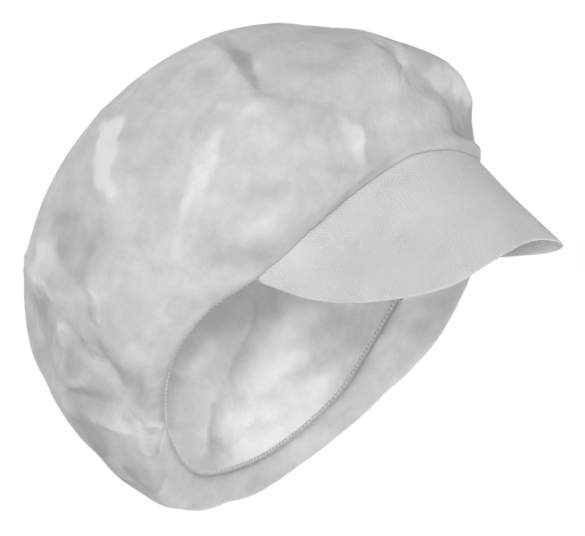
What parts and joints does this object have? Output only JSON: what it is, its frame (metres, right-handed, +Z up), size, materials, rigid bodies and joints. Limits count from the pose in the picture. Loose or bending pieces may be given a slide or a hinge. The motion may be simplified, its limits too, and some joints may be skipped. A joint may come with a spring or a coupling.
{
  "type": "peaked bouffant hair cap",
  "caption": "Disposable gathered hair cover cap of thin nonwoven fabric, with an elastic hem round the head opening and a sewn-on soft peak.",
  "frame": {"origin": "middle of the head opening, level with its edge", "axes": "+X to the wearer's left, -Y to the front where the peak is, +Z up as worn; the opening is tipped 40 degrees, front up"},
  "size_m": [0.2445, 0.262, 0.2299],
  "materials": {
    "crown": "thin white spunbond nonwoven, slightly see-through, soft creases",
    "elastic_hem": "folded nonwoven edge with overlocked elastic",
    "peak": "light grey-white stiffer nonwoven with a fine woven pattern"
  },
  "bodies": {
    "root": {"crown": "crown", "elastic_hem": "elastic_hem", "peak": "peak"}
  },
  "joints": []
}
